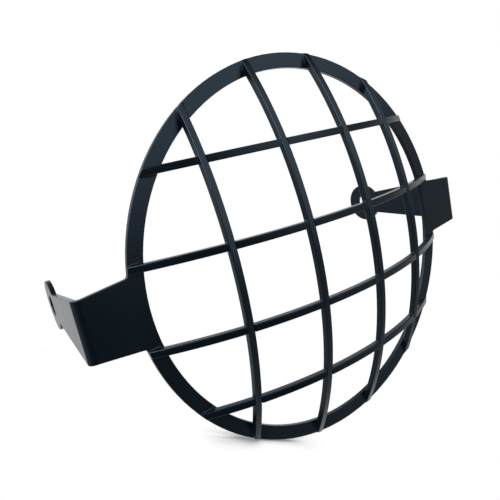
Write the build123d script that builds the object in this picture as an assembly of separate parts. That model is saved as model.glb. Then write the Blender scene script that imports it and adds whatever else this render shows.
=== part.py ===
"""Guard for a seven inch round motorcycle headlight.

One steel sheet is cut to a ring with a wing on each side. Each wing is folded back
into an arm that ends in a round eye for the headlight's side bolt. Square steel bars,
bent to arcs on one dome, are slotted into each other and welded to the ring's front.

Frame: the origin is the middle of the ring's back face, which rests on the rim of the
lamp. The dome faces -Y, the arms go back along +Y, and +Z is up.
"""

from build123d import *
import os
from math import sqrt

# The sheet that the ring, wings and arms are cut from
sheet_thickness = 2.3

# The ring
ring_outer_radius = 90.0
ring_width = 6.5

# The wings and their folds
wing_root_half_height = 14.6
wing_root_fillet = 1.5
fold_half_height = 12.6
fold_inner_radius = 1.0
fold_angle = 92.2
width_over_folds = 221.2

# The arms and their eyes
ring_front_to_bolt = 67.0
neck_half_height = 7.0
neck_fillet = 1.5
eye_radius = 12.2
bolt_hole_diameter = 10.0

# The dome of bars
dome_height = 26.0
foot_lip = 0.5
bar_width = 3.0
bar_depth = 3.0
bar_edge_chamfer = 0.35
bar_pitch = 34.3
bars_each_way = 4
slot_clearance = 0.05

# Room past a solid that a cutting tool has
tool_room = 5.0


# Values that follow from the sizes above
ring_inner_radius = ring_outer_radius - ring_width
ring_front_y = -sheet_thickness
fold_outer_radius = fold_inner_radius + sheet_thickness
fold_start_x = width_over_folds / 2 - fold_outer_radius

# The dome's sphere runs through the front of the feet at the ring's outer edge
foot_front_y = ring_front_y - foot_lip
dome_rise = dome_height - foot_lip
dome_radius = (ring_outer_radius**2 + dome_rise**2) / (2 * dome_rise)
dome_centre_y = foot_front_y - dome_rise + dome_radius

# Where the bars lie, counted from one side to the other
bar_places = [(i - (bars_each_way - 1) / 2) * bar_pitch for i in range(bars_each_way)]


def front_view(y):
    """A plane at depth y that shows X to the right and Z up, seen from the front."""
    return Plane(origin=(0, y, 0), x_dir=(1, 0, 0), z_dir=(0, -1, 0))


def wing_outline():
    """Both wings as one long plate across the ring: highest at the ring, then tapered."""
    root_x = sqrt(ring_outer_radius**2 - wing_root_half_height**2)
    corners = [
        (root_x, -wing_root_half_height),
        (fold_start_x, -fold_half_height),
        (fold_start_x, fold_half_height),
        (root_x, wing_root_half_height),
        (-root_x, wing_root_half_height),
        (-fold_start_x, fold_half_height),
        (-fold_start_x, -fold_half_height),
        (-root_x, -wing_root_half_height),
    ]
    return make_face(Polyline(*corners, close=True))


def ring_with_wings():
    """The flat part of the sheet, with a fillet where each wing leaves the ring."""
    plate = Circle(ring_outer_radius) + wing_outline()
    roots = [v for v in plate.vertices() if abs(v.Y) > fold_half_height + 0.01 and abs(v.X) < fold_start_x - 1]
    plate = fillet(roots, wing_root_fillet)
    plate -= Circle(ring_inner_radius)
    return extrude(front_view(0) * plate, sheet_thickness)


def fold():
    """The right fold: the sheet's section turned about the fold's own axis."""
    edge_on = Plane.YZ.offset(fold_start_x)
    section = edge_on * Pos(-sheet_thickness / 2, 0) * Rectangle(sheet_thickness, 2 * fold_half_height)
    axis = Axis((fold_start_x, fold_inner_radius, 0), (0, 0, 1))
    return revolve(section, axis, revolution_arc=fold_angle)


def arm_plane():
    """The outer face of the right arm. Its X runs back along the arm and its Y is up."""
    along = Vector(1, 0, 0).rotate(Axis.Z, fold_angle)
    outward = Vector(0, -1, 0).rotate(Axis.Z, fold_angle)
    centre = Vector(fold_start_x, fold_inner_radius, 0)
    start = centre + outward * fold_outer_radius
    return Plane(origin=start, x_dir=along, z_dir=outward)


def bolt_distance():
    """From the end of the fold to the middle of the eye, measured along the arm."""
    plane = arm_plane()
    return (ring_front_y + ring_front_to_bolt - plane.origin.Y) / plane.x_dir.Y


def arm():
    """The right arm: a taper down to the neck, then a round eye with the bolt hole."""
    eye_x = bolt_distance()
    neck_x = eye_x - sqrt(eye_radius**2 - neck_half_height**2)
    corners = [
        (0, -fold_half_height),
        (neck_x, -neck_half_height),
        (eye_x, -neck_half_height),
        (eye_x, neck_half_height),
        (neck_x, neck_half_height),
        (0, fold_half_height),
    ]
    outline = make_face(Polyline(*corners, close=True)) + Pos(eye_x, 0) * Circle(eye_radius)
    necks = [v for v in outline.vertices() if abs(v.X - neck_x) < 0.01]
    outline = fillet(necks, neck_fillet)
    outline -= Pos(eye_x, 0) * Circle(bolt_hole_diameter / 2)
    return extrude(arm_plane() * outline, -sheet_thickness)


def ring_and_arms():
    """The ring, both wings and both arms, which are one folded sheet."""
    right = fold() + arm()
    return ring_with_wings() + right + mirror(right, about=Plane.YZ)


def bar_section():
    """The square bar's section, with its four corners broken."""
    square = Rectangle(bar_width, bar_depth)
    return chamfer(square.vertices(), bar_edge_chamfer)


def upright_blank(x):
    """One upright bar before it is slotted: square bar bent to an arc and trimmed by the ring."""
    outer = sqrt(dome_radius**2 - x**2)
    back_y = dome_centre_y + outer - bar_depth / 2
    hoop = revolve(Pos(x, back_y) * bar_section(), Axis((x, dome_centre_y, 0), (1, 0, 0)))
    reach = dome_height + tool_room
    over_the_ring = extrude(front_view(ring_front_y) * Circle(ring_outer_radius), reach)
    return hoop & over_the_ring


def cross_blank(z):
    """One cross bar before it is slotted: an upright bar turned on its side."""
    return Rot(0, -90, 0) * upright_blank(z)


def slot_floor_y(x, z):
    """Depth of the flat where two bars meet: half way through the pair at their crossing."""
    front = dome_centre_y - sqrt(dome_radius**2 - x**2 - z**2)
    outer = sqrt(dome_radius**2 - x**2)
    back = dome_centre_y - sqrt((outer - bar_depth) ** 2 - z**2)
    return (front + back) / 2


def slot(x, z, towards, along_x, along_z):
    """A slot at a crossing, open towards the front (-1) or the back (+1) of the dome."""
    depth = bar_depth + tool_room
    middle_y = slot_floor_y(x, z) + towards * depth / 2
    return Pos(x, middle_y, z) * Box(along_x, depth, along_z)


def upright_bar(x):
    """An upright bar, slotted from behind, so that its front edge runs through unbroken."""
    bar = upright_blank(x)
    for z in bar_places:
        bar -= slot(x, z, 1, bar_width + tool_room, bar_width + 2 * slot_clearance)
    return bar


def cross_bar(z):
    """A cross bar, slotted from the front, so that its back edge runs through unbroken."""
    bar = cross_blank(z)
    for x in bar_places:
        bar -= slot(x, z, -1, bar_width + 2 * slot_clearance, bar_width + tool_room)
    return bar


parts = {"ring_and_arms": ring_and_arms()}
for number, place in enumerate(bar_places, start=1):
    parts[f"upright_bar_{number}"] = upright_bar(place)
    parts[f"cross_bar_{number}"] = cross_bar(place)

os.makedirs("parts", exist_ok=True)
for name, shape in parts.items():
    solids = shape.solids()
    export_step(solids[0] if len(solids) == 1 else Compound(children=list(solids)), f"parts/{name}.step")
    print(name, len(solids), round(shape.volume, 1))
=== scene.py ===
# %% [markdown]
# # A motorcycle headlight guard in satin black powder coat
#
# The guard is a flat steel ring with two folded arms, and a dome of square bars welded to its face.
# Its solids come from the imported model, in metres, with +Z up and the dome facing -Y. This lesson
# dresses them: it mixes the powder coat, rounds the edges as the coat does, bends the bars, lays in
# the welds, and sets up a white studio with the photograph's camera.

import math
from itertools import product

import bmesh
import bpy
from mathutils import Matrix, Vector


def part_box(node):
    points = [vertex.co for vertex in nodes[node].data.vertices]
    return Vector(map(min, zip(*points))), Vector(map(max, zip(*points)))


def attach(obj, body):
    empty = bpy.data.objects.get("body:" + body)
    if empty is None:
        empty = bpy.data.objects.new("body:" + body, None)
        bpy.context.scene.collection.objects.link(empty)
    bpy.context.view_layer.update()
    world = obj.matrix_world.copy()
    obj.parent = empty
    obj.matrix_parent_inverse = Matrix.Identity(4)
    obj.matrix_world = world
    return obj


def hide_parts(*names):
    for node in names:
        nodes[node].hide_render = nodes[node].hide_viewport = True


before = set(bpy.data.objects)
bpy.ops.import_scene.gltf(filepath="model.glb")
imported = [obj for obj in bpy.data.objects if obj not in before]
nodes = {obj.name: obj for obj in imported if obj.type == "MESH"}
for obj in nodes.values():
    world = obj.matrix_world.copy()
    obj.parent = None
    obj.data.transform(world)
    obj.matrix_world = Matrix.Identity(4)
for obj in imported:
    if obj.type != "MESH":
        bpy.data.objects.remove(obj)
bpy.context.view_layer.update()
MM = 0.001
print("nodes:", sorted(nodes))

# %% [markdown]
# ## The camera
#
# The photograph was taken close up, from the left and a little above, with the camera turned about
# its own axis. A camera can be turned by hand until the outlines agree, but a real one is placed by
# where it stands, what it looks at and how far it is rolled, so those three are the values here. The
# lens and the short distance give the ring's strong perspective: its near side is drawn half as
# large again as its far side.

# %% Place the camera
camera_place = Vector((-138.21, -175.22, 49.44)) * MM
camera_target = Vector((-31.94, 1.31, 8.90)) * MM
camera_roll = math.radians(-12.34)
nearest_seen = 1 * MM
# Blender takes the sensor and the lens in millimetres
sensor_width = 36.0
focal_length = 34.11


def add_camera():
    """A camera that looks from its place to its target, then rolls about the line of sight."""
    data = bpy.data.cameras.new("camera")
    data.sensor_width = sensor_width
    data.lens = focal_length
    data.clip_start = nearest_seen
    camera = bpy.data.objects.new("camera", data)
    bpy.context.scene.collection.objects.link(camera)
    camera.location = camera_place
    camera.rotation_euler = (camera_target - camera_place).to_track_quat("-Z", "Y").to_euler()
    camera.rotation_euler.rotate_axis("Z", camera_roll)
    bpy.context.scene.camera = camera
    return camera


camera = add_camera()
print("from the ring's middle to the camera, in mm:", round(camera.location.length / MM, 1))

# %% [markdown]
# ## Colours and nodes
#
# Colours are written as the sRGB hex values that a colour picker shows. Blender mixes light in
# linear values, so one function turns hex to linear. A second one adds a shader node with its
# settings and links, which keeps each material short enough to read.


# %% Colour and node helpers
def srgb(hex_colour):
    """A linear RGBA colour from an sRGB hex value such as #22262b."""
    steps = [int(hex_colour[i:i + 2], 16) / 255 for i in (1, 3, 5)]
    linear = [s / 12.92 if s <= 0.04045 else ((s + 0.055) / 1.055) ** 2.4 for s in steps]
    return (*linear, 1.0)


def add_node(tree, kind, settings=None, numbered=None, **named):
    """A node with its settings. Its inputs are set or linked, by their number or their name."""
    node = tree.nodes.new(kind)
    for name, value in (settings or {}).items():
        setattr(node, name, value)
    inputs = {name.replace("_", " "): value for name, value in named.items()}
    inputs.update(numbered or {})
    for key, value in inputs.items():
        socket = node.inputs[key]
        if isinstance(value, bpy.types.NodeSocket):
            tree.links.new(value, socket)
        else:
            socket.default_value = value
    return node


def empty_tree(holder):
    """The node tree of a material or a world, with nothing in it yet."""
    holder.use_nodes = True
    holder.node_tree.nodes.clear()
    return holder.node_tree


print("mid grey in linear values:", round(srgb("#808080")[0], 3))

# %% [markdown]
# ## Powder coat
#
# Powder coat is a resin dust that is sprayed on dry and baked until it flows. On this guard it is a
# satin black with a blue cast, in its sheen as well as in its colour, and both vary a little over
# patches some 25 mm wide. The baked skin is 0.06 mm thick and never quite flat: it sets in soft waves
# about 1 mm across, which are called orange peel, with a finer grain on top. Noise makes all of these
# at their real widths, where an image of them would blur in a close view. The coat is a plastic, so
# its metallic is 0 and its IOR 1.5. The satin comes from a roughness near 0.3, which smears the white
# studio into soft sheens that are strong only where a face is seen edge on.

# %% Mix the powder coat
coat_black = "#060d14"
coat_mottle = "#0a1118"
coat_tint = "#c0e3ff"
coat_ior = 1.5
coat_roughness = (0.25, 0.31)
mottle_width = 25 * MM
peel_width = 1.2 * MM
peel_depth = 0.05 * MM
peel_strength = 0.3
grain_width = 0.25 * MM
grain_depth = 0.02 * MM
grain_strength = 0.25


def powder_coat():
    """Satin black powder coat: mottled colour and gloss, with orange peel and grain as bump."""
    material = bpy.data.materials.new("satin_black_powder_coat")
    tree = empty_tree(material)
    place = add_node(tree, "ShaderNodeTexCoord").outputs["Object"]
    mottle = add_node(tree, "ShaderNodeTexNoise", Vector=place, Scale=1 / mottle_width, Detail=2.0)
    peel = add_node(tree, "ShaderNodeTexNoise", Vector=place, Scale=1 / peel_width, Detail=2.0)
    grain = add_node(tree, "ShaderNodeTexNoise", Vector=place, Scale=1 / grain_width, Detail=1.0)
    # some sockets of a Mix node share a name, so its colours go in and come out by number
    colour = add_node(
        tree, "ShaderNodeMix", {"data_type": "RGBA"}, {6: srgb(coat_black), 7: srgb(coat_mottle)},
        Factor=mottle.outputs["Fac"],
    )
    gloss = add_node(
        tree, "ShaderNodeMapRange", Value=mottle.outputs["Fac"],
        To_Min=coat_roughness[0], To_Max=coat_roughness[1],
    )
    waves = add_node(
        tree, "ShaderNodeBump", Strength=peel_strength, Distance=peel_depth,
        Height=peel.outputs["Fac"],
    )
    skin = add_node(
        tree, "ShaderNodeBump", Strength=grain_strength, Distance=grain_depth,
        Height=grain.outputs["Fac"], Normal=waves.outputs["Normal"],
    )
    shader = add_node(
        tree, "ShaderNodeBsdfPrincipled", Base_Color=colour.outputs[2],
        Roughness=gloss.outputs["Result"], IOR=coat_ior, Specular_Tint=srgb(coat_tint),
        Normal=skin.outputs["Normal"],
    )
    add_node(tree, "ShaderNodeOutputMaterial", Surface=shader.outputs["BSDF"])
    return material


coat = powder_coat()
print("material:", coat.name)

# %% [markdown]
# ## The sheet
#
# The ring, its two wings and the folded arms are one piece of sheet steel. Its solid from the model
# already has the right shape, so it stays and only its edges change. A cut edge is sharp, but powder
# pulls back from a sharp edge and leaves a small radius that catches the light. The mesh may not be
# changed, so modifiers do it: Weld joins the points that each face has to itself, Decimate joins the
# triangles of each flat face, and Bevel rounds every sharp edge. Weighted Normal then shades large
# faces flat and lets the folds run into them without a line.

# %% Round the sheet's edges
sheet = nodes["ring_and_arms"]
sheet_edge_radius = 0.3 * MM
sheet_edge_segments = 3
sharp_angle = math.radians(35)
flat_angle = math.radians(0.5)
doubled_within = 0.001 * MM


def coat_edges(piece, radius):
    """Join doubled points and the triangles of flat faces, then round and shade the edges."""
    joined = piece.modifiers.new("join_points", "WELD")
    joined.merge_threshold = doubled_within
    flat = piece.modifiers.new("join_flat_faces", "DECIMATE")
    flat.decimate_type = "DISSOLVE"
    flat.angle_limit = flat_angle
    bevel = piece.modifiers.new("coated_edges", "BEVEL")
    bevel.width = radius
    bevel.segments = sheet_edge_segments
    bevel.limit_method = "ANGLE"
    bevel.angle_limit = sharp_angle
    bevel.use_clamp_overlap = False
    piece.modifiers.new("flat_faces_stay_flat", "WEIGHTED_NORMAL")


sheet.data.materials.clear()
sheet.data.materials.append(coat)
coat_edges(sheet, sheet_edge_radius)
print("sheet faces before the modifiers:", len(sheet.data.polygons))

# %% [markdown]
# ## The dome
#
# The bars are 3 mm square steel with the coat on each side, and each is bent to an arc whose front
# lies on one sphere. The sphere stands 26 mm off the ring's front and comes down to half a
# millimetre above it at the ring's outer edge. Those sizes give its radius, in the way that a chord
# and its rise give an arc. The places of the bars come from the model's own boxes.

# %% Work out the dome
ring_radius = 90 * MM
ring_front_y = -2.3 * MM
foot_lip = 0.5 * MM
dome_height = 26 * MM
steel_size = 3 * MM
coat_thickness = 0.06 * MM

bar_size = steel_size + 2 * coat_thickness
dome_rise = dome_height - foot_lip
dome_radius = (ring_radius**2 + dome_rise**2) / (2 * dome_rise)
dome_centre_y = ring_front_y - dome_height + dome_radius


def bar_places(kind, axis):
    """Where the four bars of one kind stand, in order, from the middle of each one's box."""
    boxes = [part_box(f"{kind}_bar_{number}") for number in (1, 2, 3, 4)]
    return [(low[axis] + high[axis]) / 2 for low, high in boxes]


upright_places = bar_places("upright", 0)
cross_places = bar_places("cross", 2)
print("dome radius in mm:", round(dome_radius / MM, 1))
print("uprights at:", [round(place / MM, 2) for place in upright_places])
print("cross bars at:", [round(place / MM, 2) for place in cross_places])

# %% [markdown]
# ## The shape of a bent bar
#
# A bar could be a curve with a bevel profile, but its feet are trimmed flat by the ring, and each
# crossing is a halved joint with half of each bar cut away. So each bar is a grid of points instead.
# Columns of the grid go round the rounded square section, and each column is an exact arc. These
# functions give the section and the places that the cuts need.

# %% Measure a bar
bar_edge_radius = 0.4 * MM
bar_edge_steps = 4


def bar_section():
    """Points round the rounded square: how far to the side, and how far behind the front."""
    points = []
    flat = bar_size / 2 - bar_edge_radius
    for corner, (side, back) in enumerate([(1, 1), (-1, 1), (-1, -1), (1, -1)]):
        for step in range(bar_edge_steps + 1):
            angle = math.pi / 2 * (corner + step / bar_edge_steps)
            points.append((
                side * flat + bar_edge_radius * math.cos(angle),
                back * flat + bar_edge_radius * math.sin(angle) + bar_size / 2,
            ))
    return points


def arc_radius(place, behind):
    """Radius of the arc of the bar at that place, at a depth behind its front."""
    return math.sqrt(dome_radius**2 - place**2) - behind


def arc_y(place, behind, along):
    """Depth of a point of the bar at that place: how far behind its front, and how far along."""
    return dome_centre_y - math.sqrt(arc_radius(place, behind) ** 2 - along**2)


def joint_y(x, z):
    """Where the two halves of a crossing meet: half way through the pair of bars."""
    return (arc_y(x, 0, z) + arc_y(x, bar_size, z)) / 2


def foot_start(place):
    """How far along a bar its back comes down to the ring's front."""
    return math.sqrt(arc_radius(place, bar_size) ** 2 - (dome_centre_y - ring_front_y) ** 2)


def ring_edge(across):
    """How far along the ring's outer edge lies, on a line that far across from its middle."""
    return math.sqrt(ring_radius**2 - across**2)


print("points round a bar:", len(bar_section()))
print("feet start at:", [round(foot_start(place) / MM, 1) for place in upright_places])

# %% [markdown]
# ## The rows of a bar
#
# Rows of the grid are stations along the bar. Where the ring or a slot cuts the bar, the points past
# the cut are moved back to it. A slot's wall is two rows at one station, one whole and one cut, so
# each row has a number that says which of the two comes first. The slots are a hair narrower than
# the bars in them, so that no gap shows.

# %% Lay out the rows
station_step = 1.5 * MM
slot_overlap = 0.03 * MM
slot_half_width = bar_size / 2 - slot_overlap


def bar_stations(place, crossings):
    """Rows along a bar: the station, which of two comes first, and the crossing of its slot."""
    # the last row stops a little short of the round end, so that the two don't cross
    end = ring_edge(abs(place) + bar_size / 2) - station_step / 4
    steps = round(2 * end / station_step)
    marks = [-foot_start(place), foot_start(place)]
    marks += [end * (2 * step / steps - 1) for step in range(steps + 1)]
    whole = [mark for mark in marks if min(abs(mark - c) for c in crossings) > slot_half_width]
    rows = [(mark, 0, None) for mark in whole]
    for crossing in crossings:
        low, high = crossing - slot_half_width, crossing + slot_half_width
        rows += [(low, 0, None), (low, 1, crossing), (high, 0, crossing), (high, 1, None)]
    return sorted(rows, key=lambda row: row[:2])


def end_row(place, end):
    """The row at one end of a bar, which the ring's outer edge trims round."""
    row = []
    for side, behind in bar_section():
        along = end * ring_edge(place + side)
        row.append((side, along, min(arc_y(place, behind, along), ring_front_y)))
    return row


def inner_row(place, along, crossing, is_upright):
    """A row across a bar, cut by the ring's front, and by the slot's flat where it is in a slot."""
    row = []
    for side, behind in bar_section():
        y = min(arc_y(place, behind, along), ring_front_y)
        if crossing is not None and is_upright:
            y = min(y, joint_y(place, crossing))
        elif crossing is not None:
            y = max(y, joint_y(crossing, place))
        row.append((side, along, y))
    return row


print("rows of an outer bar:", len(bar_stations(upright_places[0], cross_places)))

# %% [markdown]
# ## From rows to a piece
#
# The bars and the welds are both rings of points with a skin over them, so they share the two
# functions here. The second one turns the skin into a coated piece that belongs to the guard's body.
# Smooth shading makes the fine steps round each edge look like one radius.


# %% Skin and finish a piece
def skin(bm, rings):
    """Faces from each ring of points to the next, and one over each end."""
    for near, far in zip(rings, rings[1:]):
        for i in range(len(near)):
            j = (i + 1) % len(near)
            bm.faces.new((near[i], near[j], far[j], far[i]))
    bm.faces.new(rings[0])
    bm.faces.new(reversed(rings[-1]))


def finish_piece(bm, name):
    """A coated object from the mesh: smooth faces, with edges over the sharp angle kept sharp."""
    bmesh.ops.recalc_face_normals(bm, faces=bm.faces)
    for face in bm.faces:
        face.smooth = True
    for edge in bm.edges:
        edge.smooth = edge.is_manifold and edge.calc_face_angle() < sharp_angle
    mesh = bpy.data.meshes.new(name)
    bm.to_mesh(mesh)
    bm.free()
    mesh.materials.append(coat)
    piece = bpy.data.objects.new(name, mesh)
    bpy.context.scene.collection.objects.link(piece)
    weighted = piece.modifiers.new("flat_faces_stay_flat", "WEIGHTED_NORMAL")
    weighted.keep_sharp = True
    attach(piece, "root")
    print(name, "faces:", len(mesh.polygons))
    return piece


# %% [markdown]
# ## The eight bars
#
# Each upright is slotted from behind, so that its front runs through unbroken, and each cross bar is
# slotted from the front. The slots could be cut out with a Boolean, but here they are already in the
# rows. Where a cut presses points together, those points are joined into one. Each new bar takes the
# place of its plain solid.

# %% Make the bars
pressed_within = 0.0005 * MM


def bent_bar(name, place, crossings, is_upright):
    """One bent bar: an upright is slotted from behind, a cross bar from the front."""
    rows = [end_row(place, -1)]
    for along, _, crossing in bar_stations(place, crossings):
        rows.append(inner_row(place, along, crossing, is_upright))
    rows.append(end_row(place, 1))
    bm = bmesh.new()
    rings = []
    for row in rows:
        if is_upright:
            points = [(place + side, y, along) for side, along, y in row]
        else:
            points = [(along, y, place + side) for side, along, y in row]
        rings.append([bm.verts.new(point) for point in points])
    skin(bm, rings)
    bmesh.ops.remove_doubles(bm, verts=bm.verts, dist=pressed_within)
    bmesh.ops.dissolve_degenerate(bm, dist=pressed_within, edges=bm.edges)
    return finish_piece(bm, name)


for number, place in enumerate(upright_places, start=1):
    piece = bent_bar(f"bent_upright_{number}", place, cross_places, True)
    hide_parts(f"upright_bar_{number}")
for number, place in enumerate(cross_places, start=1):
    piece = bent_bar(f"bent_cross_bar_{number}", place, upright_places, False)
    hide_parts(f"cross_bar_{number}")

# %% [markdown]
# ## The welds
#
# Each bar is welded where it stands on the ring and where it crosses another bar, and powder fills
# what is left of the corner. A weld could be a row of small beads, but ground and coated ones like
# these read as one line. So each of those corners gets a thin fillet of filler, hollow in section,
# that fades out at both ends. Along it the size swells and shrinks a little, as the ripples of a
# weld do.

# %% Lay one weld
weld_points_across = 6
weld_sunk = 0.1 * MM
weld_end_share = 0.05
ripple_length = 0.5 * MM
ripple_height = 0.12
steps_per_ripple = 3
fewest_weld_steps = 8


def weld(bm, start, end, one_way, other_way, size):
    """A hollow fillet from start to end, in the corner between two directions."""
    length = (end - start).length
    steps = max(fewest_weld_steps, round(length / (ripple_length / steps_per_ripple)))
    rings = []
    for step in range(steps + 1):
        t = step / steps
        fade = math.sqrt(max(0.0, 1 - abs(2 * t - 1) ** 3))
        ripple = 1 + ripple_height * math.sin(2 * math.pi * t * length / ripple_length)
        radius = size * (weld_end_share + (1 - weld_end_share) * fade * ripple)
        corner = start.lerp(end, t)
        ring = [bm.verts.new(corner - (one_way + other_way) * weld_sunk)]
        for i in range(weld_points_across):
            angle = math.pi / 2 * i / (weld_points_across - 1)
            reach = (1 - math.sin(angle)) * radius
            rise = (1 - math.cos(angle)) * radius
            ring.append(bm.verts.new(corner + one_way * reach + other_way * rise))
        rings.append(ring)
    skin(bm, rings)


# %% [markdown]
# At a crossing the side faces of both bars are flat planes, so each of its four corners is a
# straight line from front to back. A weld lies along each, and stops a little short of both ends.

# %% Weld the crossings
crossing_weld_size = 0.55 * MM
crossing_end_gap = 0.3 * MM

bm = bmesh.new()
for x, z, side, above in product(upright_places, cross_places, (-1, 1), (-1, 1)):
    corner_x = x + side * bar_size / 2
    corner_z = z + above * bar_size / 2
    front = max(arc_y(x, 0, corner_z), arc_y(z, 0, corner_x)) + crossing_end_gap
    back = min(arc_y(x, bar_size, corner_z), arc_y(z, bar_size, corner_x)) - crossing_end_gap
    weld(
        bm, Vector((corner_x, front, corner_z)), Vector((corner_x, back, corner_z)),
        Vector((side, 0, 0)), Vector((0, 0, above)), crossing_weld_size,
    )
finish_piece(bm, "crossing_welds")

# %% [markdown]
# A foot is welded along both sides, from where the bar's back comes down to the ring almost to the
# ring's outer edge.

# %% Weld the feet
foot_weld_size = 0.7 * MM
foot_end_gap = 0.4 * MM


def foot_welds(bm, place, is_upright):
    """Two fillets on each foot of one bar, from where it touches the ring to the ring's edge."""
    for end, side in product((-1, 1), (-1, 1)):
        across = place + side * bar_size / 2
        corners = []
        for along in (foot_start(place), ring_edge(across) - foot_end_gap):
            x, z = (across, end * along) if is_upright else (end * along, across)
            corners.append(Vector((x, ring_front_y, z)))
        sideways = Vector((side, 0, 0)) if is_upright else Vector((0, 0, side))
        weld(bm, *corners, sideways, Vector((0, -1, 0)), foot_weld_size)


bm = bmesh.new()
for place in upright_places:
    foot_welds(bm, place, True)
for place in cross_places:
    foot_welds(bm, place, False)
finish_piece(bm, "foot_welds")

# %% [markdown]
# ## The light
#
# The guard was photographed in a white studio, on a sheet of white paper that sweeps up behind it.
# Area lamps could stand for its lights, but each light here is a glow in the world: brightest in one
# direction and fading around it. That suits a satin coat, because all that shows is how the glow
# slides over the bent bars. The sweep behind is the widest. One softbox lights the faces that look
# forwards and one the sides and tops, and a small strong lamp draws the thin line along the left
# edges of the uprights. The paper adds weak light from below and from both sides.

# %% List the lights
# direction of the light, the angles from it where it ends and where it is full, and its strength
glows = {
    "sweep behind": ((0.55, 0.80, -0.22), 75, 0, 1.29),
    "sweep at the left": ((-0.21, 0.95, -0.24), 26, 0, 0.17),
    "softbox in front": ((0.38, -0.81, 0.47), 40, 20, 1.62),
    "softbox above": ((-0.68, 0.32, 0.66), 54, 0, 2.6),
    "lamp at the left": ((-0.63, -0.50, 0.55), 18, 5, 16.0),
    "paper at the right": ((0.80, -0.40, -0.45), 52, 0, 0.34),
    "paper at the left": ((-0.88, 0.25, -0.41), 48, 0, 0.34),
    "paper below": ((-0.17, -0.24, -0.96), 37, 0, 1.0),
    "paper under the feet": ((0.48, 0.17, -0.86), 26, 0, 0.6),
}
faint_light = 0.02
print("glows:", ", ".join(glows))

# %% [markdown]
# ## The studio's world
#
# The world's shader says how bright each direction is. The cosine between that direction and the
# middle of a glow is 1 at the middle and falls away around it, so a smooth step on the cosine draws
# the glow. Added up, the glows are what lights the coat and what it mirrors. The camera is shown
# plain white instead, which the coat isn't, because white on every side would turn it grey. The
# Standard view transform shows each colour as it is written.

# %% Light the studio
white = srgb("#ffffff")
scene = bpy.context.scene
scene.view_settings.view_transform = "Standard"


def add_glow(tree, looking, toward, end, full, strength):
    """Brightness of one glow in the direction that is looked at."""
    facing = add_node(
        tree, "ShaderNodeVectorMath", {"operation": "DOT_PRODUCT"},
        {0: looking, 1: Vector(toward).normalized()},
    )
    glow = add_node(
        tree, "ShaderNodeMapRange", {"interpolation_type": "SMOOTHSTEP"}, Value=facing.outputs["Value"],
        From_Min=math.cos(math.radians(end)), From_Max=math.cos(math.radians(full)), To_Max=strength,
    )
    return glow.outputs["Result"]


world = bpy.data.worlds.new("studio")
scene.world = world
tree = empty_tree(world)
looking = add_node(tree, "ShaderNodeTexCoord").outputs["Generated"]
total = faint_light
for values in glows.values():
    glow = add_glow(tree, looking, *values)
    total = add_node(tree, "ShaderNodeMath", {"operation": "ADD"}, {0: glow, 1: total}).outputs["Value"]
# a Background node is light grey unless told otherwise, which takes a fifth off each strength
lights = add_node(tree, "ShaderNodeBackground", Strength=total)
plain = add_node(tree, "ShaderNodeBackground", Color=white, Strength=1.0)
path = add_node(tree, "ShaderNodeLightPath")
either = add_node(
    tree, "ShaderNodeMixShader", None,
    {1: lights.outputs["Background"], 2: plain.outputs["Background"]},
    Fac=path.outputs["Is Camera Ray"],
)
add_node(tree, "ShaderNodeOutputWorld", Surface=either.outputs["Shader"])
print("nodes in the world:", len(tree.nodes))

# %% [markdown]
# ## The floor
#
# The guard rests on the edge of its ring, rolled to the left and leaning back, on white paper. The
# guard could be tilted for that, but it keeps the model's own axes here, and the floor lies across
# them. Its slope is read off the photograph, and its height is that of the sheet's lowest point.

# %% Lay the floor
floor_up = Vector((0.52, -0.20, 0.853)).normalized()
floor_radius = 320 * MM
floor_sides = 96


def lowest_point(piece):
    """The point of the piece that the model stands on."""
    places = [piece.matrix_world @ vertex.co for vertex in piece.data.vertices]
    return min(places, key=floor_up.dot)


bm = bmesh.new()
bmesh.ops.create_circle(bm, cap_ends=True, segments=floor_sides, radius=floor_radius)
mesh = bpy.data.meshes.new("floor")
bm.to_mesh(mesh)
bm.free()
floor = bpy.data.objects.new("floor", mesh)
scene.collection.objects.link(floor)
floor.location = lowest_point(sheet)
floor.rotation_euler = floor_up.to_track_quat("Z", "Y").to_euler()
print("the model stands on:", [round(value / MM, 1) for value in floor.location])

# %% [markdown]
# ## The paper
#
# The paper is so well lit that the camera sees it as white, and only the strip that the ring hides
# from the light is grey. A lamp's shadow would need a lamp that also lights the coat. Ambient
# occlusion measures the strip alone: how much of the light from the right is hidden by things close
# by. Seen from below the paper is clear, and it neither lights the guard nor shows in its coat.

# %% Mix the white paper
shadow_reach = 24 * MM
shadow_from = Vector((0.75, -0.05, 0.55)).normalized()
shadow_samples = 16
shadow_tone = 0.3
# the shares of open space at which the shadow is full and at which it ends
shadow_full = 0.46
shadow_end = 0.74

paper = bpy.data.materials.new("white_paper")
tree = empty_tree(paper)
nearby = add_node(
    tree, "ShaderNodeAmbientOcclusion", {"samples": shadow_samples},
    Distance=shadow_reach, Normal=shadow_from,
)
tone = add_node(
    tree, "ShaderNodeMapRange", Value=nearby.outputs["AO"], From_Min=shadow_full, From_Max=shadow_end,
    To_Min=shadow_tone, To_Max=1.0,
)
lit = add_node(tree, "ShaderNodeEmission", Color=white, Strength=tone.outputs["Result"])
clear = add_node(tree, "ShaderNodeBsdfTransparent")
seen_side = add_node(tree, "ShaderNodeNewGeometry")
one_sided = add_node(
    tree, "ShaderNodeMixShader", None, {1: lit.outputs["Emission"], 2: clear.outputs["BSDF"]},
    Fac=seen_side.outputs["Backfacing"],
)
add_node(tree, "ShaderNodeOutputMaterial", Surface=one_sided.outputs["Shader"])
floor.data.materials.append(paper)
floor.visible_diffuse = False
floor.visible_glossy = False
floor.visible_transmission = False
floor.visible_shadow = False
print("material:", paper.name)
